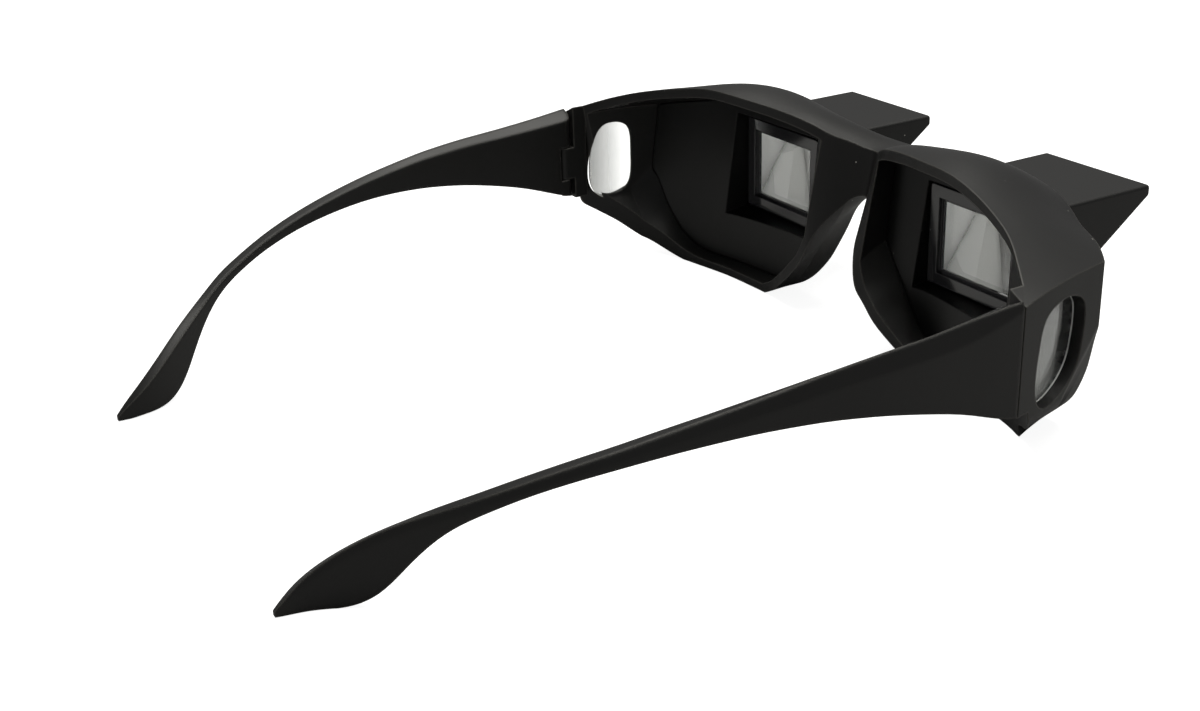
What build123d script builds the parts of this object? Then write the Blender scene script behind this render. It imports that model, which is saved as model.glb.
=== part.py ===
from build123d import *
import os
from math import atan, cos, hypot, sin

os.makedirs("parts", exist_ok=True)

# Prism bed glasses, in millimetres. The front faces -Y, the wearer's left is +X and +Z is up.
# While the pieces are made, X = 0 is the plane of symmetry, Y = 0 is the joint between the
# frame and the temples, and Z = 0 is the surface on which the glasses lie. Each piece is moved
# as it is written, so that the origin is the bottom centre of the whole.

# Driving sizes of the frame
half_width = 77.4
frame_depth = 42.5
frame_height = 45.4
brow_level = 37.0
rim_level = 41.0
side_flare = 0.25
wall = 2.2
side_wall = 3.8
front_wall = 2.4
foot_sink = 0.3
overrun = 4.0
slip = 0.1
seam_gap = 0.3

# Driving sizes of the temples and their hinges
temple_length = 122.9
temple_height = 35.8
temple_thickness = 4.2
facet_height = 3.6
facet_width = 1.3
inner_drop = 1.8
belly_rise = 0.4
slender_height = 12.0
pin_radius = 0.7
pin_clearance = 0.05
knuckle_radius = 1.5
knuckle_height = 7.6
knuckle_level = 23.2
pin_length = 15.4
pin_foot_level = 15.0
pin_head_radius = 0.95
pin_head_height = 0.8
hinge_clearance = 0.2
post_depth = 3.4
post_foot = 14.4

# Driving sizes of the prisms and of what carries them, the housings' inner edge and top as
# shares of the half width and of the frame's height
housing_inner_edge_share = 0.235
housing_top_share = 0.800
housing_width = 28.4
housing_height = 22.4
housing_reach = 63.3
slope_start = 35.8
housing_wall = 1.5
housing_floor = 1.2
roof = 1.2
edge_radius = 0.7
tip_height = 2.2
window_rim = 2.6
exit_window_tip = 4.9
exit_window_heel = 2.0
mirror_thickness = 0.6
pad_thickness = 0.7
pad_margin = 3.0
prism_side_gap = 0.1
prism_tip_land = 0.6
eye_face_depth = 33.1
gasket_thickness = 0.6
gasket_rim = 0.9
bezel_thickness = 1.5
bezel_inner_margin = 0.55
bezel_outer_margin = 1.95
bezel_foot_margin = 0.7
bezel_top_margin = 0.6
bezel_border = 2.5
bezel_step = 0.7
bezel_lip = 0.6
bezel_flange = 0.6
bezel_corner = 0.6
bezel_clearance = 0.15

# Driving sizes of the inner panel
panel_thickness = 2.0
panel_tilt = 0.11
panel_level_share = 0.55
panel_clearance = 0.15
recess_wall = 1.4
recess_depth = 10.0
recess_flare = 0.3
bridge_share = 0.123

# Driving sizes of the side windows, their places as shares of the frame's depth and height
window_front_share = 0.478
window_back_share = 0.118
window_top_share = 0.718
window_foot_share = 0.291
opening_front_share = 0.366
opening_back_share = 0.128
opening_top_share = 0.705
opening_foot_share = 0.315
lens_thickness = 0.8
lens_web = 0.6
lens_fit = 0.1

# The brow, seen in section at stations across the frame, as shares of the half width, the depth
# and the height: station, rear edge forward and up, front edge forward and up, and how far the
# surface is domed above the straight line between those edges.
brow_shares = (
    (0.000, 0.753, 0.837, 1.000, 0.815, 0.008),
    (0.065, 0.689, 0.868, 1.000, 0.813, 0.020),
    (0.142, 0.565, 0.925, 0.997, 0.808, 0.042),
    (0.270, 0.504, 0.969, 0.993, 0.813, 0.064),
    (0.388, 0.447, 0.991, 0.995, 0.846, 0.068),
    (0.509, 0.402, 1.000, 0.979, 0.855, 0.056),
    (0.629, 0.355, 0.969, 0.915, 0.819, 0.040),
    (0.753, 0.278, 0.925, 0.781, 0.804, 0.026),
    (0.884, 0.139, 0.855, 0.632, 0.800, 0.010),
    (0.956, 0.000, 0.802, 0.430, 0.784, 0.006),
    (1.035, 0.000, 0.735, 0.239, 0.752, 0.006),
)
brow_section_count = 10

# The plan of the frame at the same kind of station: front edge at the brow and at the floor,
# rear edge at the rim and at the floor, all as shares of the depth, forward of the joint.
plan_shares = (
    (0.000, 1.000, 0.711, 0.753, 0.560),
    (0.032, 1.000, 0.711, 0.722, 0.470),
    (0.065, 1.000, 0.711, 0.685, 0.390),
    (0.103, 0.999, 0.711, 0.623, 0.395),
    (0.142, 0.998, 0.711, 0.572, 0.432),
    (0.200, 0.995, 0.711, 0.532, 0.460),
    (0.270, 0.993, 0.711, 0.504, 0.500),
    (0.388, 0.995, 0.711, 0.447, 0.510),
    (0.509, 0.979, 0.705, 0.402, 0.500),
    (0.629, 0.915, 0.680, 0.355, 0.466),
    (0.736, 0.801, 0.635, 0.289, 0.428),
    (0.788, 0.745, 0.655, 0.249, 0.396),
    (0.884, 0.632, 0.625, 0.139, 0.302),
    (0.944, 0.545, 0.545, 0.066, 0.210),
    (0.985, 0.478, 0.478, 0.015, 0.128),
    (1.060, 0.350, 0.350, -0.060, -0.040),
)

# The lower corner of the outline as seen from the front, at places forward of the joint: shares
# of the corner's width and height, taken at its foremost place.
corner_width = 28.0
corner_height = 32.6
corner_shares = (
    (-0.094, (
        (0.000, 0.405),
        (0.037, 0.328),
        (0.096, 0.280),
        (0.163, 0.228),
        (0.232, 0.170),
        (0.314, 0.117),
        (0.439, 0.062),
        (0.929, 0.000),
    )),
    (0.330, (
        (0.000, 0.420),
        (0.037, 0.344),
        (0.096, 0.290),
        (0.163, 0.233),
        (0.232, 0.170),
        (0.314, 0.117),
        (0.439, 0.062),
        (0.929, 0.000),
    )),
    (0.588, (
        (0.000, 0.767),
        (0.032, 0.669),
        (0.082, 0.546),
        (0.136, 0.387),
        (0.193, 0.273),
        (0.261, 0.166),
        (0.375, 0.071),
        (0.714, 0.000),
    )),
    (1.094, (
        (0.000, 1.000),
        (0.029, 0.883),
        (0.071, 0.712),
        (0.116, 0.482),
        (0.164, 0.339),
        (0.221, 0.199),
        (0.329, 0.077),
        (0.557, 0.000),
    )),
)

# The nose gap: its half width at the rear edge, at the ridge along its wall and at the front,
# as shares of one half width, at levels that are shares of its height.
nose_half_width = 30.0
nose_height = 28.4
nose_shares = (
    (0.993, 0.000, 0.000, 0.000),
    (0.965, 0.070, 0.080, 0.250),
    (0.912, 0.111, 0.117, 0.390),
    (0.810, 0.151, 0.180, 0.487),
    (0.690, 0.181, 0.267, 0.497),
    (0.588, 0.210, 0.333, 0.500),
    (0.482, 0.244, 0.402, 0.500),
    (0.387, 0.291, 0.468, 0.507),
    (0.306, 0.372, 0.517, 0.527),
    (0.239, 0.451, 0.565, 0.560),
    (0.151, 0.578, 0.635, 0.620),
    (0.042, 0.740, 0.770, 0.760),
    (-0.021, 0.867, 0.893, 0.893),
    (-0.109, 0.993, 1.010, 1.010),
)
nose_rear_share = 0.370
nose_ridge_share = 0.635
nose_front_share = 1.094

# The inner panel's surface as seen from above, at its own level: shares of the half width, and
# how far it stands back from the bezel's flange as shares of the recess's depth.
panel_shares = (
    (0.050, 0.380),
    (0.123, 0.420),
    (0.225, 0.260),
    (0.388, 0.270),
    (0.517, 0.370),
    (0.601, 0.480),
    (0.711, 0.720),
    (0.801, 0.970),
    (0.888, 1.220),
    (1.060, 1.700),
)

# The outline of a side window, like a leaf, and of the D-shaped opening at its bottom, straight
# towards the front, drawn round from the top: shares of the length forwards and of the height.
window_shares = (
    (0.530, 1.000),
    (0.330, 0.975),
    (0.160, 0.905),
    (0.075, 0.790),
    (0.040, 0.640),
    (0.012, 0.500),
    (0.000, 0.350),
    (0.018, 0.190),
    (0.080, 0.080),
    (0.200, 0.010),
    (0.350, 0.000),
    (0.540, 0.040),
    (0.750, 0.134),
    (0.905, 0.280),
    (0.980, 0.500),
    (1.000, 0.710),
    (0.950, 0.865),
    (0.790, 0.960),
)
opening_shares = (
    (0.500, 1.000),
    (0.290, 0.955),
    (0.120, 0.820),
    (0.025, 0.630),
    (0.000, 0.440),
    (0.030, 0.240),
    (0.130, 0.080),
    (0.310, 0.005),
    (0.540, 0.000),
    (0.760, 0.035),
    (0.920, 0.130),
    (0.985, 0.270),
    (1.000, 0.450),
    (1.000, 0.660),
    (0.985, 0.820),
    (0.905, 0.930),
    (0.730, 0.990),
)

# The temple, as shares of its length, of the half width and of its height: station, outer face,
# upper edge, lower edge, and how much of the facet and of the thickness is left there.
temple_shares = (
    (0.041, 1.000, 0.988, 0.440, 0.70, 1.00),
    (0.098, 1.000, 0.969, 0.512, 0.95, 0.95),
    (0.155, 1.000, 0.951, 0.568, 0.95, 0.88),
    (0.237, 0.995, 0.932, 0.631, 0.90, 0.80),
    (0.319, 0.984, 0.904, 0.673, 0.80, 0.75),
    (0.372, 0.975, 0.876, 0.688, 0.75, 0.75),
    (0.428, 0.962, 0.845, 0.694, 0.65, 0.75),
    (0.482, 0.946, 0.811, 0.688, 0.60, 0.75),
    (0.537, 0.925, 0.773, 0.672, 0.52, 0.75),
    (0.593, 0.900, 0.728, 0.646, 0.46, 0.75),
    (0.648, 0.868, 0.679, 0.609, 0.42, 0.75),
    (0.706, 0.827, 0.617, 0.554, 0.40, 0.74),
    (0.765, 0.778, 0.543, 0.469, 0.40, 0.73),
    (0.801, 0.737, 0.488, 0.384, 0.40, 0.72),
    (0.842, 0.688, 0.424, 0.225, 0.40, 0.71),
    (0.875, 0.650, 0.363, 0.081, 0.40, 0.70),
    (0.904, 0.620, 0.300, 0.012, 0.38, 0.68),
    (0.940, 0.587, 0.210, 0.000, 0.34, 0.62),
    (0.973, 0.571, 0.120, 0.000, 0.24, 0.48),
    (0.990, 0.565, 0.066, 0.000, 0.14, 0.34),
    (1.000, 0.563, 0.024, 0.000, 0.05, 0.20),
)
seam_section_shares = (1.000, 1.000, 0.404, 0.35, 1.00)

sides = {"left": 1, "right": -1}


# Forms that the frame and the panels share

def mirrored(points):
    """The points of the wearer's left half, preceded by their mirror image."""
    return [(-x, y) for x, y in reversed(points) if x > 0] + list(points)


def doming(share):
    """How much of the doming is left at a share of the way from the rear to the front edge."""
    if share < 0:
        return 4 * share
    if share > 1:
        return 4 * (1 - share)
    return 4 * share * (1 - share)


def brow_form(drop):
    """Everything under the brow's domed surface, lowered by drop."""
    front = -frame_depth - overrun
    back = overrun
    with BuildPart() as form:
        for step in range(brow_section_count + 1):
            y = front + (back - front) * step / brow_section_count
            line = []
            for across, rear, rear_up, fore, fore_up, dome in brow_shares:
                share = (-y / frame_depth - rear) / (fore - rear)
                level = rear_up + (fore_up - rear_up) * share + dome * doming(share)
                line.append((across * half_width, level * frame_height - drop))
            line = mirrored(line)
            end = line[-1][0]
            with BuildSketch(Plane.XZ.offset(-y)):
                with BuildLine():
                    Spline(*line)
                    Polyline(line[-1], (end, -2 * overrun), (-end, -2 * overrun), line[0])
                make_face()
        loft()
    return form.part


def plan_form(front_inset, rear_extra):
    """The frame as seen from above, its front moved back and its rear moved further back."""
    with BuildPart() as form:
        for level in (-overrun, frame_height + overrun):
            fore = []
            rear = []
            for across, brow, brow_floor, rim, rim_floor in plan_shares:
                fore_y = brow_floor + (brow - brow_floor) * level / brow_level
                rear_y = rim_floor + (rim - rim_floor) * level / rim_level
                fore.append((across * half_width, front_inset - fore_y * frame_depth))
                rear.append((across * half_width, rear_extra - rear_y * frame_depth))
            fore = mirrored(fore)
            rear = mirrored(rear)
            with BuildSketch(Plane.XY.offset(level)):
                with BuildLine():
                    Spline(*fore)
                    Line(fore[-1], rear[-1])
                    Spline(*reversed(rear))
                    Line(rear[0], fore[0])
                make_face()
        loft(ruled=True)
    return form.part


def barrel_form(side_inset, floor_inset):
    """The frame as seen from the front: flared sides, rounded lower corners and a flat foot."""
    top = frame_height + 2 * overrun
    floor = floor_inset - foot_sink
    with BuildPart() as form:
        for forward, shares in corner_shares:
            y = -forward * frame_depth
            side = half_width + side_flare * y - side_inset
            corner = []
            for inward, upward in shares:
                corner.append((side - inward * corner_width, floor + upward * corner_height))
            corner.reverse()
            left_corner = [(-x, z) for x, z in reversed(corner)]
            with BuildSketch(Plane.XZ.offset(-y)):
                with BuildLine():
                    Line((-side, top), left_corner[0])
                    Spline(*left_corner, tangents=((0, -1), (1, 0)))
                    Line(left_corner[-1], corner[0])
                    Spline(*corner, tangents=((1, 0), (0, 1)))
                    Line(corner[-1], (side, top))
                    Line((side, top), (-side, top))
                make_face()
        loft(ruled=True)
    return form.part


def grown(points, amount):
    """Each point of a half outline, moved out along its own normal."""
    moved = []
    for index, (x, z) in enumerate(points):
        before = points[max(index - 1, 0)]
        after = points[min(index + 1, len(points) - 1)]
        if index == 0:
            before = (-after[0], after[1])
        along_x = after[0] - before[0]
        along_z = after[1] - before[1]
        size = hypot(along_x, along_z)
        moved.append((x - along_z / size * amount, z + along_x / size * amount))
    return moved


def nose_form(grow):
    """The space for the nose, from the front to the rear edge, made wider all round by grow."""
    deep = -2 * overrun
    with BuildPart() as form:
        for column, forward in ((3, nose_front_share), (2, nose_ridge_share), (1, nose_rear_share)):
            half = [(row[column] * nose_half_width, row[0] * nose_height) for row in nose_shares]
            outline = mirrored(grown(half, grow))
            with BuildSketch(Plane.XZ.offset(forward * frame_depth)):
                with BuildLine():
                    Spline(*outline)
                    Line(outline[-1], (outline[-1][0], deep))
                    Line((outline[-1][0], deep), (outline[0][0], deep))
                    Line((outline[0][0], deep), outline[0])
                make_face()
        loft(ruled=True)
    return form.part


def eye_rooms(extra):
    """The two hollows behind the front wall, their walls thicker by extra."""
    room_back = frame_depth
    with BuildPart() as rooms:
        add(brow_form(wall + extra))
        add(plan_form(front_wall + extra, room_back), mode=Mode.INTERSECT)
        add(barrel_form(side_wall + extra, wall + extra), mode=Mode.INTERSECT)
        add(nose_form(wall + extra), mode=Mode.SUBTRACT)
        with BuildSketch(Plane.XY.offset(-overrun)):
            with Locations((0, -frame_depth / 2)):
                Rectangle(2 * (bridge_share * half_width + extra), 2 * frame_depth)
        extrude(amount=frame_height + 2 * overrun, mode=Mode.SUBTRACT)
    return rooms.part


# Places that several pieces take from the same sizes

hinge_x = half_width - temple_thickness + knuckle_radius
hinge_y = seam_gap / 2 + hinge_clearance + knuckle_radius
housing_inner_edge = housing_inner_edge_share * half_width
housing_centre = housing_inner_edge + housing_width / 2
housing_top = housing_top_share * frame_height
housing_foot = housing_top - housing_height
bezel_inner_edge = housing_inner_edge + bezel_inner_margin
bezel_width = housing_width - bezel_inner_margin - bezel_outer_margin
bezel_centre = bezel_inner_edge + bezel_width / 2
bezel_foot = housing_foot + bezel_foot_margin
bezel_height = housing_height - bezel_foot_margin - bezel_top_margin
bezel_face = eye_face_depth - gasket_thickness - bezel_thickness
sleeve_end = bezel_face + bezel_thickness
roof_level = housing_top - roof
mirror_top = roof_level - pad_thickness
prism_top = mirror_top - mirror_thickness
tip_level = housing_top - tip_height
slope = (tip_level - housing_foot) / (housing_reach - slope_start)
steepness = hypot(1, slope)
exit_window_front = housing_reach - exit_window_tip
exit_window_back = slope_start + exit_window_heel
housing_middle = (housing_foot + housing_top) / 2
bezel_middle = bezel_foot + bezel_height / 2
flange_face = sleeve_end - bezel_flange
hollow_width = housing_width - 2 * housing_wall
hollow_foot = housing_foot + housing_floor
knuckle_low = knuckle_level - knuckle_height / 2
knuckle_high = knuckle_level + knuckle_height / 2
inner_face = half_width - temple_thickness
wall_depth = side_wall * cos(atan(side_flare))
lens_depth = wall_depth - lens_web
window_shape = (
    window_shares,
    window_back_share * frame_depth,
    window_front_share * frame_depth,
    window_foot_share * frame_height,
    window_top_share * frame_height,
)
opening_shape = (
    opening_shares,
    opening_back_share * frame_depth,
    opening_front_share * frame_depth,
    opening_foot_share * frame_height,
    opening_top_share * frame_height,
)


def sloping_level(forward, depth):
    """Height of the sloping lower face of a housing, at a depth inside it."""
    return tip_level - slope * (housing_reach - forward) + depth * steepness


def sloping_forward(level, depth):
    """How far forward the sloping lower face, at a depth inside the housing, reaches a level."""
    return housing_reach - (tip_level + depth * steepness - level) / slope


def side_plane(side):
    """The outer face of a side wall, its X running back along the wall and its Z outwards."""
    turn = atan(side_flare)
    if side > 0:
        along = (sin(turn), cos(turn), 0)
    else:
        along = (sin(turn), -cos(turn), 0)
    return Plane(origin=(side * half_width, 0, 0), x_dir=along, z_dir=(side * cos(turn), -sin(turn), 0))


def window_outline(side, shape, grow):
    """An outline in the side plane between its back, front, foot and top, moved outwards by grow."""
    shares, back, front, foot, top = shape
    points = [(back + across * (front - back), foot + up * (top - foot)) for across, up in shares]
    moved = []
    for index, (forward, level) in enumerate(points):
        before = points[index - 1]
        after = points[(index + 1) % len(points)]
        along = after[0] - before[0]
        rise = after[1] - before[1]
        size = hypot(along, rise)
        moved.append((-side * (forward + rise / size * grow), level - along / size * grow))
    with BuildLine() as outline:
        Spline(*moved, periodic=True)
    return outline.line


def side_window(side, shape, grow, depth, amount):
    """The outline of a side window as a solid, reaching outwards from depth inside the wall."""
    with BuildPart() as form:
        with BuildSketch(side_plane(side).offset(-depth)):
            with BuildLine():
                add(window_outline(side, shape, grow))
            make_face()
        extrude(amount=amount)
    return form.part


def hinge_cylinder(side, radius, low, high):
    """An upright cylinder about the axis of a hinge."""
    with BuildPart() as form:
        with BuildSketch(Plane.XY.offset(low)):
            with Locations((side * hinge_x, hinge_y)):
                Circle(radius)
        extrude(amount=high - low)
    return form.part


def block(side, across, along, up):
    """A plain block between pairs of places across, along and up, on one side of the frame."""
    with BuildPart() as form:
        with BuildSketch(Plane.XY.offset(up[0])):
            with Locations((side * (across[0] + across[1]) / 2, (along[0] + along[1]) / 2)):
                Rectangle(across[1] - across[0], along[1] - along[0])
        extrude(amount=up[1] - up[0])
    return form.part


def housing_profile(side, width, points):
    """A side view of distances forward and heights, carried across a housing about its middle."""
    with BuildPart() as form:
        with BuildSketch(Plane.YZ.offset(side * housing_centre - width / 2)):
            Polygon(*[(-forward, level) for forward, level in points], align=None)
        extrude(amount=width)
    return form.part


def housing_block(side, grow):
    """The outer form of a prism housing and of its sleeve through the front wall."""
    outline = (
        (sleeve_end, housing_foot - grow),
        (sloping_forward(housing_foot, 0), housing_foot - grow),
        (housing_reach, tip_level - grow),
        (housing_reach, housing_top + grow),
        (sleeve_end, housing_top + grow),
    )
    return housing_profile(side, housing_width + 2 * grow, outline)


def upright_plate(side, depth, thickness, centre, middle, width, height):
    """A plate facing the eye, from a depth forward of the joint, about a centre and a middle."""
    with BuildPart() as form:
        with BuildSketch(Plane.XZ.offset(depth)):
            with Locations((side * centre, middle)):
                Rectangle(width, height)
        extrude(amount=thickness)
    return form.part


def write_piece(piece, name):
    """Label a finished piece and write it, with the origin at the bottom centre of the whole."""
    middle = (temple_length - housing_reach) / 2
    placed = piece.moved(Location((0, -middle, 0)))
    placed.label = name
    export_step(placed, f"parts/{name}.step")


# Front frame: brow, front walls, side walls, nose bridge, hinge posts and knuckles

with BuildPart() as front_frame:
    add(brow_form(0))
    add(plan_form(0, 0), mode=Mode.INTERSECT)
    add(barrel_form(0, 0), mode=Mode.INTERSECT)
    add(nose_form(0), mode=Mode.SUBTRACT)
    add(eye_rooms(0), mode=Mode.SUBTRACT)
    for side in sides.values():
        post_along = (-seam_gap / 2 - post_depth, -seam_gap / 2)
        post = block(side, (inner_face, half_width + overrun), post_along, (post_foot, frame_height))
        add(post & brow_form(0) & barrel_form(0, 0))
        knuckle_across = (inner_face, inner_face + 2 * knuckle_radius)
        knuckle_along = (-seam_gap / 2 - post_depth / 2, hinge_y)
        add(block(side, knuckle_across, knuckle_along, (knuckle_low, knuckle_high)))
        add(hinge_cylinder(side, knuckle_radius, knuckle_low, knuckle_high))
        pin_hole = hinge_cylinder(side, pin_radius + pin_clearance, knuckle_low - slip, knuckle_high + slip)
        add(pin_hole, mode=Mode.SUBTRACT)
        add(side_window(side, window_shape, 0, lens_depth, lens_depth + overrun), mode=Mode.SUBTRACT)
        opening = side_window(side, opening_shape, 0, wall_depth + overrun, 2 * overrun)
        add(opening, mode=Mode.SUBTRACT)
        add(housing_block(side, slip), mode=Mode.SUBTRACT)
        about = (housing_centre, housing_middle)
        flange_room = (housing_width + 2 * slip, housing_height + 2 * slip)
        bezel_room = upright_plate(side, bezel_face - slip, front_wall, *about, *flange_room)
        add(bezel_room, mode=Mode.SUBTRACT)
    with BuildSketch():
        Rectangle(4 * half_width, 4 * frame_depth)
    extrude(amount=-overrun, mode=Mode.SUBTRACT)

write_piece(front_frame.part, "front_frame")


# Temples, each with its two knuckles round the frame's one

def between(rows, place):
    """A row of the table at any place along it, on a smooth curve through the rows."""
    index = 1
    while index < len(rows) - 2 and rows[index][0] < place:
        index += 1
    low, high = rows[index - 1], rows[index]
    before = rows[max(index - 2, 0)]
    after = rows[min(index + 1, len(rows) - 1)]
    span = high[0] - low[0]
    t = (place - low[0]) / span
    values = []
    for column in range(1, len(low)):
        start_slope = (high[column] - before[column]) / (high[0] - before[0]) * span
        end_slope = (after[column] - low[column]) / (after[0] - low[0]) * span
        start = low[column] * (2 * t**3 - 3 * t**2 + 1) + start_slope * (t**3 - 2 * t**2 + t)
        values.append(start + high[column] * (3 * t**2 - 2 * t**3) + end_slope * (t**3 - t**2))
    return values


section_count = 25
temple_start = seam_gap / 2
pin_seat = pin_foot_level + pin_head_height

for name, side in sides.items():
    with BuildPart() as temple:
        rows = ((temple_start / temple_length,) + seam_section_shares,) + temple_shares
        for step in range(section_count + 1):
            place = rows[0][0] + (1 - rows[0][0]) * step / section_count
            out, top, foot, facet, thick = between(rows, place)
            outer = out * half_width
            inner = outer - thick * temple_thickness
            upper = top * temple_height
            lower = max(foot, 0) * temple_height
            rounding = min(thick, (upper - lower) / slender_height)
            section = (
                (side * inner, lower + belly_rise * rounding),
                (side * outer, lower),
                (side * outer, upper - facet * facet_height),
                (side * (outer - facet * facet_width), upper),
                (side * inner, upper - inner_drop * rounding),
            )
            with BuildSketch(Plane.XZ.offset(-place * temple_length)):
                Polygon(*section, align=None)
        loft()
        below = block(side, (0, half_width + overrun), (0, temple_length + overrun), (-overrun, 0))
        add(below, mode=Mode.SUBTRACT)
        corner = block(side, (inner_face - overrun, hinge_x), (0, hinge_y), (0, frame_height))
        add(corner - hinge_cylinder(side, knuckle_radius, 0, frame_height), mode=Mode.SUBTRACT)
        notch_side = inner_face + 2 * knuckle_radius + hinge_clearance
        notch_back = hinge_y + knuckle_radius + hinge_clearance
        notch_span = (knuckle_low - hinge_clearance, knuckle_high + hinge_clearance)
        notch = block(side, (inner_face - overrun, notch_side), (0, notch_back), notch_span)
        add(notch, mode=Mode.SUBTRACT)
        pin_top = pin_foot_level + pin_length + slip
        add(hinge_cylinder(side, pin_radius + pin_clearance, pin_foot_level, pin_top), mode=Mode.SUBTRACT)
        head_room = hinge_cylinder(side, pin_head_radius + pin_clearance, 0, pin_seat)
        add(head_room, mode=Mode.SUBTRACT)
    write_piece(temple.part, f"{name}_temple")

    # Hinge pin, its head hidden in the lower knuckle
    with BuildPart() as hinge_pin:
        add(hinge_cylinder(side, pin_radius, pin_foot_level, pin_foot_level + pin_length))
        add(hinge_cylinder(side, pin_head_radius, pin_foot_level, pin_seat))
    write_piece(hinge_pin.part, f"{name}_hinge_pin")


# Prism housings: a sleeve through the front wall and a wedge open along its lower face

prism_foot = hollow_foot + prism_side_gap
prism_width = hollow_width - 2 * prism_side_gap
prism_depth = housing_floor + prism_side_gap
prism_tip = sloping_forward(prism_top - prism_tip_land, prism_depth)

for name, side in sides.items():
    with BuildPart() as housing:
        add(housing_block(side, 0))
        exposed = housing.edges().filter_by(lambda edge: edge.center().Y < -sleeve_end - slip)
        fillet(exposed, radius=edge_radius)
        inner_reach = housing_reach - housing_wall
        hollow = (
            (sleeve_end - overrun, hollow_foot),
            (sloping_forward(hollow_foot, housing_floor), hollow_foot),
            (inner_reach, sloping_level(inner_reach, housing_floor)),
            (inner_reach, roof_level),
            (sleeve_end - overrun, roof_level),
        )
        add(housing_profile(side, hollow_width, hollow), mode=Mode.SUBTRACT)
        exit_window = (
            (exit_window_back, sloping_level(exit_window_back, -overrun)),
            (exit_window_front, sloping_level(exit_window_front, -overrun)),
            (exit_window_front, sloping_level(exit_window_front, prism_depth)),
            (exit_window_back, sloping_level(exit_window_back, prism_depth)),
        )
        window_width = housing_width - 2 * window_rim
        add(housing_profile(side, window_width, exit_window), mode=Mode.SUBTRACT)
    write_piece(housing.part, f"{name}_prism_housing")

    # Prism: eye face upright, mirrored face level, lower face sloping up to the tip
    with BuildPart() as prism:
        outline = (
            (eye_face_depth, prism_foot),
            (sloping_forward(prism_foot, prism_depth), prism_foot),
            (prism_tip, prism_top - prism_tip_land),
            (prism_tip, prism_top),
            (eye_face_depth, prism_top),
        )
        add(housing_profile(side, prism_width, outline))
    write_piece(prism.part, f"{name}_prism")

    # Mirror plate on the prism's upper face
    with BuildPart() as mirror:
        outline = (
            (eye_face_depth, prism_top),
            (prism_tip, prism_top),
            (prism_tip, mirror_top),
            (eye_face_depth, mirror_top),
        )
        add(housing_profile(side, prism_width, outline))
    write_piece(mirror.part, f"{name}_prism_mirror")

    # Foam pad between the mirror and the housing's roof
    with BuildPart() as pad:
        outline = (
            (eye_face_depth + pad_margin, mirror_top),
            (prism_tip - pad_margin, mirror_top),
            (prism_tip - pad_margin, roof_level),
            (eye_face_depth + pad_margin, roof_level),
        )
        add(housing_profile(side, prism_width - 2 * pad_margin, outline))
    write_piece(pad.part, f"{name}_prism_pad")

    # Gasket round the eye face, between the prism and the bezel
    gasket_foot = hollow_foot + slip
    gasket_top = roof_level - slip
    gasket_middle = (gasket_foot + gasket_top) / 2
    gasket_width = hollow_width - 2 * slip
    gasket_height = gasket_top - gasket_foot
    with BuildPart() as gasket:
        place = (side, sleeve_end, gasket_thickness, housing_centre, gasket_middle)
        add(upright_plate(*place, gasket_width, gasket_height))
        inner = (gasket_width - 2 * gasket_rim, gasket_height - 2 * gasket_rim)
        add(upright_plate(*place, *inner), mode=Mode.SUBTRACT)
    write_piece(gasket.part, f"{name}_prism_gasket")

    # Eyepiece bezel: a stepped ring on a flange that lies on the sleeve's end
    with BuildPart() as bezel:
        with BuildSketch(Plane.XZ.offset(bezel_face)):
            with Locations((side * bezel_centre, bezel_middle)):
                RectangleRounded(bezel_width, bezel_height, bezel_corner)
        extrude(amount=bezel_thickness)
        flange = (housing_width - 2 * bezel_clearance, housing_height - 2 * bezel_clearance)
        add(upright_plate(side, flange_face, bezel_flange, housing_centre, housing_middle, *flange))
        about = (bezel_centre, bezel_middle)
        wide = (bezel_width - 2 * bezel_border, bezel_height - 2 * bezel_border)
        narrow = (wide[0] - 2 * bezel_step, wide[1] - 2 * bezel_step)
        add(upright_plate(side, bezel_face, bezel_thickness, *about, *narrow), mode=Mode.SUBTRACT)
        step = bezel_thickness - bezel_lip
        add(upright_plate(side, bezel_face, step, *about, *wide), mode=Mode.SUBTRACT)
    write_piece(bezel.part, f"{name}_eyepiece_bezel")


# Inner panels: a plate across each hollow, with a tapered recess down to the bezel

def recess(side, extra):
    """The tapered space in front of a bezel, widening towards the eye, larger by extra."""
    with BuildPart() as form:
        for depth, flare in ((flange_face, 0), (flange_face - recess_depth, recess_flare * recess_depth)):
            grow = 2 * (bezel_clearance + flare + extra)
            with BuildSketch(Plane.XZ.offset(depth)):
                with Locations((side * bezel_centre, bezel_middle)):
                    Rectangle(bezel_width + grow, bezel_height + grow)
        loft(ruled=True)
    return form.part


def panel_space(side, depth):
    """Everything on the wearer's side of a panel's surface, or of that surface moved deeper."""
    back = 2 * overrun
    lean = panel_tilt * (panel_level_share * frame_height + overrun)
    line = []
    for across, rise in panel_shares:
        line.append((side * across * half_width, rise * recess_depth - flange_face - depth + lean))
    with BuildPart() as form:
        with BuildSketch(Plane.XY.offset(-overrun)):
            with BuildLine():
                Spline(*line)
                Polyline(line[-1], (line[-1][0], back), (line[0][0], back), line[0])
            make_face()
        extrude(amount=frame_height + 2 * overrun, dir=(0, -panel_tilt, 1))
    return form.part


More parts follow.
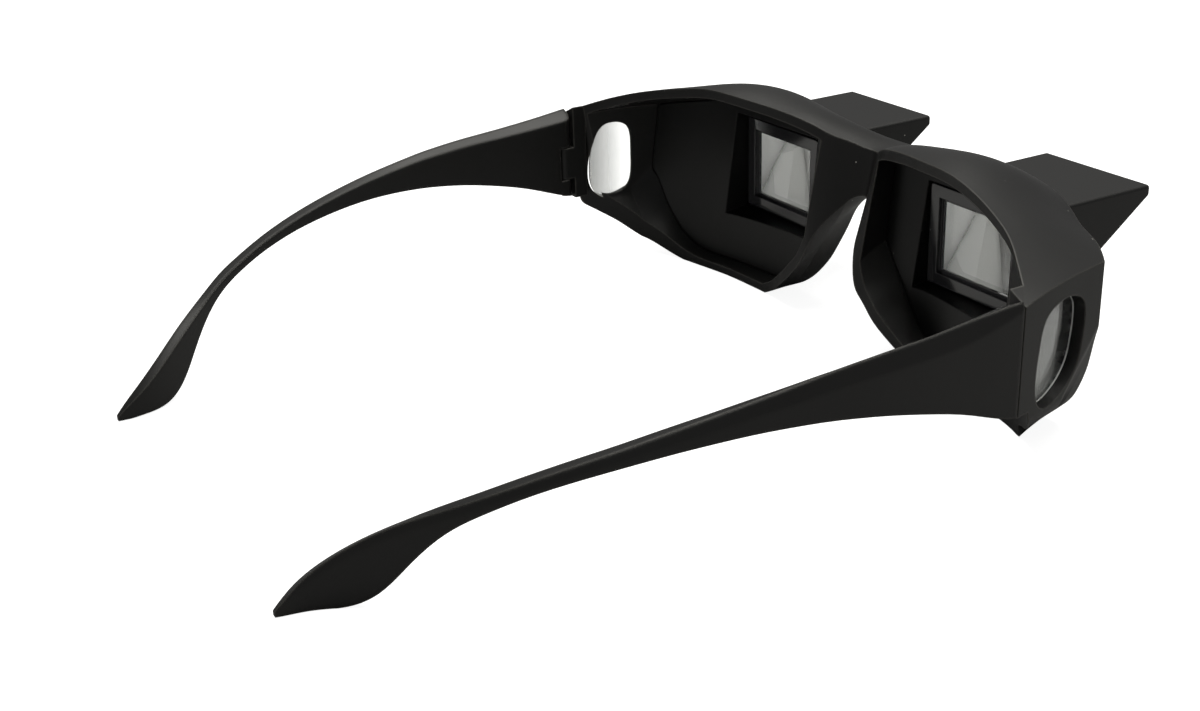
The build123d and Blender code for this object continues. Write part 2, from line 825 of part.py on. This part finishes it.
for name, side in sides.items():
    with BuildPart() as inner_panel:
        add(panel_space(side, panel_thickness))
        add(recess(side, recess_wall))
        add(panel_space(side, 0), mode=Mode.SUBTRACT)
        add(recess(side, 0), mode=Mode.SUBTRACT)
        room = block(side, (0, 2 * half_width), (-2 * frame_depth, 0), (0, frame_height))
        add(room & eye_rooms(panel_clearance), mode=Mode.INTERSECT)
        sleeve = (housing_width + 2 * bezel_clearance, housing_height + 2 * bezel_clearance)
        sleeve_room = upright_plate(side, flange_face, frame_depth, housing_centre, housing_middle, *sleeve)
        add(sleeve_room, mode=Mode.SUBTRACT)
    write_piece(inner_panel.part, f"{name}_inner_panel")


# Side lenses, each on the web at the bottom of the window in its side wall

for name, side in sides.items():
    with BuildPart() as side_lens:
        add(side_window(side, window_shape, -lens_fit, lens_depth, lens_thickness))
    write_piece(side_lens.part, f"{name}_side_lens")
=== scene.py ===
"""Prism bed glasses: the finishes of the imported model, its light and its camera."""

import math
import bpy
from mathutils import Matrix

bl_info = {
    "name": "Prism bed glasses",
    "version": (1, 0, 0),
    "blender": (4, 5, 0),
    "location": "3D View > Sidebar > Bed Glasses",
    "description": "Finishes and lights a pair of prism bed glasses",
    "category": "Object",
}

import bpy
from bpy.props import FloatProperty, FloatVectorProperty, PointerProperty
from mathutils import Matrix

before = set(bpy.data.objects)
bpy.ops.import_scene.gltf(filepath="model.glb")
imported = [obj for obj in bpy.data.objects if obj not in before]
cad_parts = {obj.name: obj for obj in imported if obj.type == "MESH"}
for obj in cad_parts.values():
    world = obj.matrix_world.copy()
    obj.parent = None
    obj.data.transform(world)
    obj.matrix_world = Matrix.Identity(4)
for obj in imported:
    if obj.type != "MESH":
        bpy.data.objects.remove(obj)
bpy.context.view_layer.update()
SIDES = ("left", "right")


# Colours that stay as they are

WHITE = (1.0, 1.0, 1.0, 1.0)
PALE_DUST = (0.42, 0.41, 0.38, 1.0)
FINE_DUST = (0.35, 0.35, 0.34, 1.0)
# Painted highlight: a pale grey laid along moulded edges for the light lines they catch
EDGE_HIGHLIGHT_GREY = (0.11, 0.106, 0.095, 1.0)
GROUND_GREYS = ((0.80, 0.81, 0.79, 1.0), (0.90, 0.90, 0.88, 1.0))
# Painted reflection: the pale milky grey that lightens the rear of each side lens
LENS_REFLECTION_GREY = (0.50, 0.51, 0.50, 1.0)
SAWN_EDGE = (0.66, 0.66, 0.64, 1.0)
FOAM_BLACKS = ((0.02, 0.02, 0.02, 1.0), (0.07, 0.07, 0.07, 1.0))
RUBBER_BLACKS = ((0.008, 0.008, 0.008, 1.0), (0.018, 0.018, 0.018, 1.0))
STEEL_GREYS = ((0.42, 0.42, 0.43, 1.0), (0.62, 0.62, 0.62, 1.0))
SILVER = {"Base Color": (0.90, 0.90, 0.89, 1.0), "Metallic": 1.0, "Roughness": 0.0}

# How near the top of a prism its silver starts, in metres, and how far out its ground faces start

SILVER_DEPTH = 0.00002
GROUND_SHARE = 0.998

# How far a lens's face has turned from sideways where it counts as its edge

LENS_EDGE_TURN = 0.6

# The floor and the lamp, in metres and radians

FLOOR_SIZE = 6.0
FLOOR_DROP = 0.0002
LAMP_WIDTH = 0.9
LAMP_LENGTH = 0.7
LAMP_PLACE = (0.10, -0.15, 0.95)
LAMP_TILT = 0.12
LAMP_WARMTH = (1.0, 0.985, 0.93)

# The camera: the width of its film in millimetres, and the nearest and farthest that it sees

FILM_WIDTH = 36.0
NEAREST = 0.01
FARTHEST = 20.0


# Settings that a user would change

class FinishSettings(bpy.types.PropertyGroup):
    body_colour: FloatVectorProperty(
        name="Body colour",
        description="Colour of the soft black plastic of the frame and temples",
        subtype="COLOR",
        size=3,
        min=0,
        max=1,
        default=(0.0036, 0.0035, 0.0034),
    )
    body_roughness: FloatProperty(
        name="Body roughness",
        description="How dull the soft black plastic is",
        subtype="FACTOR",
        min=0,
        max=1,
        default=0.50,
    )
    bezel_colour: FloatVectorProperty(
        name="Bezel colour",
        description="Colour of the glossy plastic round each eyepiece",
        subtype="COLOR",
        size=3,
        min=0,
        max=1,
        default=(0.014, 0.014, 0.016),
    )
    edge_softness: FloatProperty(
        name="Edge softness",
        description="Radius at which moulded edges catch the light",
        subtype="DISTANCE",
        min=0,
        max=0.002,
        default=0.00045,
    )
    glass_tint: FloatVectorProperty(
        name="Glass tint",
        description="Colour of light that has passed through a prism or a side lens",
        subtype="COLOR",
        size=3,
        min=0,
        max=1,
        default=(0.93, 0.94, 0.93),
    )
    dust: FloatProperty(
        name="Dust",
        description="How much pale dust lies on the plastic",
        subtype="FACTOR",
        min=0,
        max=1,
        default=0.6,
    )


class StageSettings(bpy.types.PropertyGroup):
    focal_length: FloatProperty(
        name="Focal length",
        description="Focal length of the camera, in millimetres",
        min=10,
        max=200,
        default=49.98,
    )
    camera_place: FloatVectorProperty(
        name="Camera place",
        description="Where the camera stands",
        subtype="TRANSLATION",
        unit="LENGTH",
        size=3,
        default=(-0.2633, 0.16055, 0.1398),
    )
    camera_turn: FloatVectorProperty(
        name="Camera turn",
        description="Azimuth, elevation and roll of the camera",
        subtype="EULER",
        unit="ROTATION",
        size=3,
        default=(math.radians(239.81), math.radians(23.41), math.radians(-1.94)),
    )
    sky_light: FloatProperty(
        name="Sky light",
        description="Strength of the even light from all round",
        min=0,
        max=5,
        default=0.26,
    )
    lamp_power: FloatProperty(
        name="Lamp power",
        description="Power of the large warm lamp overhead",
        unit="POWER",
        min=0,
        max=200,
        default=17.0,
    )


# Shader nodes: sockets as values, and one way to make every node

class Value:
    """A socket of a tree of shader nodes, in Python expressions."""

    def __init__(self, nodes, source):
        self.nodes = nodes
        self.source = source

    def maths(self, operation, first, second):
        made = self.nodes.node("ShaderNodeMath", {"operation": operation}, {0: first, 1: second})
        return Value(self.nodes, made.outputs[0])

    def __add__(self, other):
        return self.maths("ADD", self, other)

    def __radd__(self, other):
        return self.maths("ADD", other, self)

    def __sub__(self, other):
        return self.maths("SUBTRACT", self, other)

    def __rsub__(self, other):
        return self.maths("SUBTRACT", other, self)

    def __mul__(self, other):
        return self.maths("MULTIPLY", self, other)

    def __rmul__(self, other):
        return self.maths("MULTIPLY", other, self)

    def __truediv__(self, other):
        return self.maths("DIVIDE", self, other)

    def __gt__(self, other):
        return self.maths("GREATER_THAN", self, other)

    def __lt__(self, other):
        return self.maths("LESS_THAN", self, other)

    def __abs__(self):
        return self.maths("ABSOLUTE", self, 0.0)


class Nodes:
    """A tree of shader nodes under construction."""

    def __init__(self, tree, output):
        self.tree = tree
        self.tree.nodes.clear()
        self.output = self.tree.nodes.new(output)

    def node(self, kind, settings=None, inputs=None):
        """A node of a kind, its settings set first, then its sockets' values or links."""
        made = self.tree.nodes.new(kind)
        for name, value in (settings or {}).items():
            if name == "stops":
                self.set_stops(made.color_ramp, value)
            else:
                setattr(made, name, value)
        for name, value in (inputs or {}).items():
            self.feed(made.inputs[name], value)
        return made

    def feed(self, socket, value):
        if isinstance(value, Value):
            value = value.source
        if isinstance(value, bpy.types.NodeSocket):
            self.tree.links.new(value, socket)
        else:
            socket.default_value = value

    def set_stops(self, ramp, stops):
        while len(ramp.elements) < len(stops):
            ramp.elements.new(1)
        for element, (place, level) in zip(ramp.elements, stops):
            element.position = place
            element.color = (level, level, level, 1)

    def ray(self, kind):
        """1 for one kind of ray, 0 for the others."""
        return Value(self, self.node("ShaderNodeLightPath").outputs[kind])

    def blend(self, factor, first, second):
        return self.node("ShaderNodeMixShader", None, {0: factor, 1: first, 2: second}).outputs[0]

    def show(self, shader):
        self.feed(self.output.inputs["Surface"], shader)


class Finish(Nodes):
    """A material under construction."""

    def __init__(self, name):
        self.material = bpy.data.materials.new(name)
        self.material.use_nodes = True
        super().__init__(self.material.node_tree, "ShaderNodeOutputMaterial")

    def place(self):
        return self.node("ShaderNodeTexCoord").outputs["Object"]

    def parts(self, vector):
        """The x, y and z of a vector."""
        made = self.node("ShaderNodeSeparateXYZ", None, {0: vector})
        return [Value(self, made.outputs[index]) for index in range(3)]

    def stretched(self, scale):
        made = self.node("ShaderNodeMapping", None, {"Vector": self.place(), "Scale": scale})
        return made.outputs[0]

    def noise(self, scale, detail=2.0, vector=None):
        inputs = {"Vector": vector or self.place(), "Scale": scale, "Detail": detail}
        return Value(self, self.node("ShaderNodeTexNoise", None, inputs).outputs[0])

    def ramp(self, value, *stops):
        """Levels at places along a value, with even steps between them."""
        made = self.node("ShaderNodeValToRGB", {"stops": stops}, {0: value})
        return Value(self, made.outputs[0])

    def specks(self, scale, size, share):
        """Small round specks in a share of the cells of a 3-D pattern."""
        inputs = {"Vector": self.place(), "Scale": scale}
        cells = self.node("ShaderNodeTexVoronoi", {"feature": "F1"}, inputs)
        parts = self.node("ShaderNodeSeparateColor", None, {0: cells.outputs["Color"]})
        near = Value(self, cells.outputs["Distance"]) < size
        return near * (Value(self, parts.outputs[0]) < share)

    def mixed(self, factor, first, second):
        made = self.node("ShaderNodeMix", {"data_type": "RGBA"}, {0: factor, 6: first, 7: second})
        return made.outputs[2]

    def softened(self, radius):
        """The normal of a surface whose edges are rounded off."""
        return self.node("ShaderNodeBevel", {"samples": 4}, {"Radius": radius}).outputs[0]

    def bump(self, height, strength, distance, softness=0.0):
        """A bumpy normal, over softened edges where a softness is given."""
        inputs = {"Height": height, "Strength": strength, "Distance": distance}
        if softness:
            inputs["Normal"] = self.softened(softness)
        return self.node("ShaderNodeBump", None, inputs).outputs[0]

    def rims(self, radius):
        """1 along the edges of a piece, 0 on its faces."""
        flat = self.node("ShaderNodeNewGeometry").outputs["Normal"]
        inputs = {0: self.softened(radius), 1: flat}
        turned = self.node("ShaderNodeVectorMath", {"operation": "DOT_PRODUCT"}, inputs)
        return self.ramp(Value(self, turned.outputs["Value"]), (0.82, 1.0), (0.97, 0.0))

    def shader(self, inputs):
        return self.node("ShaderNodeBsdfPrincipled", None, inputs).outputs[0]

    def clear_way(self):
        return self.node("ShaderNodeBsdfTransparent").outputs[0]

    def lit_through(self, clear):
        """A clear shader that lets the lamp's light through to what lies behind it."""
        return self.blend(self.ray("Is Shadow Ray"), clear, self.clear_way())

    def by_side(self, outer, inner):
        """One shader on a face seen from outside its solid, and another from inside it."""
        return self.blend(self.node("ShaderNodeNewGeometry").outputs["Backfacing"], outer, inner)

    def surface(self, inputs):
        self.show(self.shader(inputs))


def colour(values, scale=1.0):
    return (*[value * scale for value in values], 1.0)


def ends(piece, axis):
    """The lowest and the highest place of a piece along an axis."""
    places = [corner[axis] for corner in piece.bound_box]
    return min(places), max(places)


# The finishes

def soft_black(name, settings, lift=1.0, roughness=0.0, grain=1.0, softness=1.0, edge_highlight=0.5):
    """Moulded black plastic with a soft-touch coat, dust, painted highlights along its edges and faint
    handling marks.
    """
    finish = Finish(name)
    fine = finish.noise(2600.0, 2.0)
    broad = finish.noise(38.0, 3.0)
    dust = finish.specks(330.0, 0.055, 0.035 * settings.dust)
    fluff = finish.specks(90.0, 0.022, 0.05 * settings.dust)
    film = finish.ramp(broad, (0.45, 0.0), (0.75, 1.0)) * 0.16
    base = finish.mixed(film, colour(settings.body_colour, lift), colour(settings.body_colour, 1.7 * lift))
    # Painted highlight: the edges are lightened towards a pale grey, standing for the light lines along
    # the rims
    if edge_highlight:
        base = finish.mixed(finish.rims(1.4 * settings.edge_softness) * edge_highlight, base, EDGE_HIGHLIGHT_GREY)
    inputs = {
        "Base Color": finish.mixed(dust * 0.55 + fluff * 0.7, base, PALE_DUST),
        "Roughness": settings.body_roughness + roughness + (broad - 0.5) * 0.12,
        "Specular IOR Level": 0.28,
        "Normal": finish.bump(fine, 0.10 * grain, 0.00012, softness * settings.edge_softness),
    }
    finish.surface(inputs)
    return finish.material


def gloss_dark(name, settings):
    """Polished dark plastic of the eyepiece bezels."""
    finish = Finish(name)
    broad = finish.noise(60.0, 2.0)
    dust = finish.specks(420.0, 0.05, 0.03 * settings.dust)
    inputs = {
        "Base Color": finish.mixed(dust * 0.4, colour(settings.bezel_colour), FINE_DUST),
        "Roughness": 0.07 + broad * 0.08,
        "Specular IOR Level": 0.70,
        "Normal": finish.bump(broad, 0.03, 0.0004, 0.6 * settings.edge_softness),
    }
    finish.surface(inputs)
    return finish.material


def prism_glass(name, tint, prism):
    """Clear solid glass, silvered on top, its two side faces ground and light grey."""
    finish = Finish(name)
    clear = {"Base Color": colour(tint), "Roughness": 0.0, "IOR": 1.49, "Transmission Weight": 1.0}
    places = finish.parts(finish.place())
    across = places[0]
    up = places[2]
    top = ends(prism, 2)[1]
    silver = finish.by_side(finish.clear_way(), finish.shader(SILVER))
    coated = finish.blend(up > top - SILVER_DEPTH, finish.lit_through(finish.shader(clear)), silver)
    grey = finish.mixed(finish.noise(1500.0, 2.0), *GROUND_GREYS)
    ground = finish.shader({"Base Color": grey, "Roughness": 0.85})
    first, last = ends(prism, 0)
    middle = (first + last) / 2
    half = (last - first) / 2
    finish.show(finish.blend(abs(across - middle) > GROUND_SHARE * half, coated, ground))
    return finish.material


def lens_plastic(name, tint, lens):
    """Thin clear plastic with sawn, frosted edges and a pale milky layer, thicker towards its rear end,
    that is a painted reflection.
    """
    finish = Finish(name)
    clear = {"Base Color": colour(tint), "Roughness": 0.03, "IOR": 1.50, "Transmission Weight": 1.0}
    reflection_cloud = finish.shader({"Base Color": LENS_REFLECTION_GREY, "Roughness": 0.6})
    front, rear = ends(lens, 1)
    share = (finish.parts(finish.place())[1] - front) / (rear - front)
    # Painted reflection: a pale milky layer thickening towards the rear end stands for the bright
    # reflection along the lens
    reflection_haze = finish.ramp(share, (0.25, 0.0), (1.0, 0.62)) + finish.noise(160.0, 3.0) * 0.05
    reflection_hazed = finish.blend(reflection_haze, finish.lit_through(finish.shader(clear)), reflection_cloud)
    facing = finish.parts(finish.node("ShaderNodeTexCoord").outputs["Normal"])
    sawn = finish.shader({"Base Color": SAWN_EDGE, "Roughness": 0.7})
    finish.show(finish.blend(abs(facing[0]) < LENS_EDGE_TURN, reflection_hazed, sawn))
    return finish.material


def silvered(name):
    """Silver on the outside of a plate that lies on glass."""
    finish = Finish(name)
    finish.show(finish.by_side(finish.shader(SILVER), finish.clear_way()))
    return finish.material


def foam(name):
    """Black foam with small open cells."""
    finish = Finish(name)
    cells = finish.node("ShaderNodeTexVoronoi", None, {"Vector": finish.place(), "Scale": 1400.0})
    depth = Value(finish, cells.outputs["Distance"])
    inputs = {
        "Base Color": finish.mixed(depth, *FOAM_BLACKS),
        "Roughness": 0.95,
        "Normal": finish.bump(depth, 0.5, 0.0003),
    }
    finish.surface(inputs)
    return finish.material


def soft_rubber(name):
    """Dull black rubber with a fine grain."""
    finish = Finish(name)
    grain = finish.noise(900.0, 2.0)
    inputs = {
        "Base Color": finish.mixed(grain, *RUBBER_BLACKS),
        "Roughness": 0.7,
        "Normal": finish.bump(grain, 0.1, 0.0002),
    }
    finish.surface(inputs)
    return finish.material


def turned_steel(name):
    """Bright steel with the fine rings that turning leaves."""
    finish = Finish(name)
    lines = finish.noise(700.0, 2.0, finish.stretched((0.15, 0.15, 6.0)))
    inputs = {
        "Base Color": finish.mixed(lines, *STEEL_GREYS),
        "Metallic": 1.0,
        "Roughness": 0.24 + lines * 0.14,
    }
    finish.surface(inputs)
    return finish.material


def dress(name, material):
    """Give a CAD piece one material."""
    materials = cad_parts[name].data.materials
    materials.clear()
    materials.append(material)


# The finish of each CAD piece

class BEDGLASSES_OT_plastic(bpy.types.Operator):
    """Finish the frame, temples, housings and panels in soft black plastic"""

    bl_idname = "bedglasses.plastic"
    bl_label = "Finish the plastic"

    def execute(self, context):
        settings = context.scene.bedglasses_finish
        shell = soft_black("soft_black", settings)
        temple = soft_black("temple_black", settings, softness=2.4)
        # Painted shade: the inner panels get the body plastic darkened to 0.15 of its colour, for the
        # shade deep in the eye cups
        inside = soft_black("inner_black_painted_shade", settings, lift=0.15, roughness=-0.16, grain=0.5, edge_highlight=0.0)
        dress("front_frame", shell)
        for side in SIDES:
            dress(f"{side}_temple", temple)
            dress(f"{side}_prism_housing", shell)
            dress(f"{side}_inner_panel", inside)
        return {"FINISHED"}


class BEDGLASSES_OT_optics(bpy.types.Operator):
    """Finish the prisms, mirrors, lenses, bezels and what holds them"""

    bl_idname = "bedglasses.optics"
    bl_label = "Finish the optics"

    def execute(self, context):
        settings = context.scene.bedglasses_finish
        finishes = {
            "prism_mirror": silvered("silvered_plate"),
            "prism_pad": foam("foam"),
            "prism_gasket": soft_rubber("soft_rubber"),
            "eyepiece_bezel": gloss_dark("gloss_dark", settings),
            "hinge_pin": turned_steel("turned_steel"),
        }
        for side in SIDES:
            for name, material in finishes.items():
                dress(f"{side}_{name}", material)
            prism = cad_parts[f"{side}_prism"]
            dress(f"{side}_prism", prism_glass(f"{side}_prism_glass", settings.glass_tint, prism))
            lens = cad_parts[f"{side}_side_lens"]
            dress(f"{side}_side_lens", lens_plastic(f"{side}_lens_plastic", settings.glass_tint, lens))
        return {"FINISHED"}


# The stage: floor, light and camera

def white_surface(name, level, glow, glass_glow):
    """A white floor with the shadows on it, brighter to the camera and through glass."""
    finish = Finish(name)
    lit = finish.node("ShaderNodeBsdfDiffuse", None, {"Color": (level, level, level, 1.0)})
    strength = finish.ray("Is Camera Ray") * glow + finish.ray("Is Transmission Ray") * glass_glow
    glowing = finish.node("ShaderNodeEmission", None, {"Color": WHITE, "Strength": strength})
    both = finish.node("ShaderNodeAddShader", None, {0: lit.outputs[0], 1: glowing.outputs[0]})
    finish.show(both.outputs[0])
    return finish.material


class BEDGLASSES_OT_stage(bpy.types.Operator):
    """Set the white floor, the soft light and the camera"""

    bl_idname = "bedglasses.stage"
    bl_label = "Set the stage"

    def execute(self, context):
        settings = context.scene.bedglasses_stage
        self.floor()
        self.sky(context.scene, settings)
        self.lamp(context.scene, settings)
        self.camera(context.scene, settings)
        context.scene.view_settings.view_transform = "Standard"
        return {"FINISHED"}

    def floor(self):
        bpy.ops.mesh.primitive_plane_add(size=FLOOR_SIZE, location=(0.0, 0.0, -FLOOR_DROP))
        plane = bpy.context.object
        plane.name = "floor"
        plane.data.materials.append(white_surface("white_floor", level=0.34, glow=0.92, glass_glow=1.10))

    def sky(self, scene, settings):
        """Even light all round, and plain white to the camera and through glass."""
        world = bpy.data.worlds.new("white_room")
        world.use_nodes = True
        scene.world = world
        room = Nodes(world.node_tree, "ShaderNodeOutputWorld")
        even = room.node("ShaderNodeBackground", None, {"Color": WHITE, "Strength": settings.sky_light})
        bright = room.node("ShaderNodeBackground", None, {"Color": WHITE, "Strength": 1.0})
        seen = room.ray("Is Camera Ray") + room.ray("Is Transmission Ray")
        room.show(room.blend(seen, even.outputs[0], bright.outputs[0]))

    def lamp(self, scene, settings):
        lamp = bpy.data.lights.new("overhead", "AREA")
        lamp.energy = settings.lamp_power
        lamp.color = LAMP_WARMTH
        lamp.shape = "RECTANGLE"
        lamp.size = LAMP_WIDTH
        lamp.size_y = LAMP_LENGTH
        holder = bpy.data.objects.new("overhead", lamp)
        holder.matrix_world = Matrix.Translation(LAMP_PLACE) @ Matrix.Rotation(LAMP_TILT, 4, "X")
        scene.collection.objects.link(holder)

    def camera(self, scene, settings):
        azimuth, elevation, roll = settings.camera_turn
        camera = bpy.data.cameras.new("camera")
        camera.lens = settings.focal_length
        camera.sensor_width = FILM_WIDTH
        camera.clip_start = NEAREST
        camera.clip_end = FARTHEST
        holder = bpy.data.objects.new("camera", camera)
        turn = Matrix.Rotation(azimuth, 4, "Z") @ Matrix.Rotation(math.pi / 2 - elevation, 4, "X")
        turn = turn @ Matrix.Rotation(roll, 4, "Z")
        holder.matrix_world = Matrix.Translation(settings.camera_place) @ turn
        scene.collection.objects.link(holder)
        scene.camera = holder


class BEDGLASSES_PT_panel(bpy.types.Panel):
    """Lists the steps that finish the bed glasses, and their settings"""

    bl_label = "Bed Glasses"
    bl_idname = "BEDGLASSES_PT_panel"
    bl_space_type = "VIEW_3D"
    bl_region_type = "UI"
    bl_category = "Bed Glasses"

    def draw(self, context):
        for step in STEPS:
            self.layout.operator(step.bl_idname)
        for settings in (context.scene.bedglasses_finish, context.scene.bedglasses_stage):
            for name in settings.__annotations__:
                self.layout.prop(settings, name)


STEPS = (BEDGLASSES_OT_plastic, BEDGLASSES_OT_optics, BEDGLASSES_OT_stage)
CLASSES = (FinishSettings, StageSettings, *STEPS, BEDGLASSES_PT_panel)


def register():
    for each in CLASSES:
        bpy.utils.register_class(each)
    bpy.types.Scene.bedglasses_finish = PointerProperty(type=FinishSettings)
    bpy.types.Scene.bedglasses_stage = PointerProperty(type=StageSettings)


def unregister():
    del bpy.types.Scene.bedglasses_stage
    del bpy.types.Scene.bedglasses_finish
    for each in reversed(CLASSES):
        bpy.utils.unregister_class(each)


def main():
    register()
    bpy.ops.bedglasses.plastic()
    bpy.ops.bedglasses.optics()
    bpy.ops.bedglasses.stage()


if __name__ == "__main__":
    main()
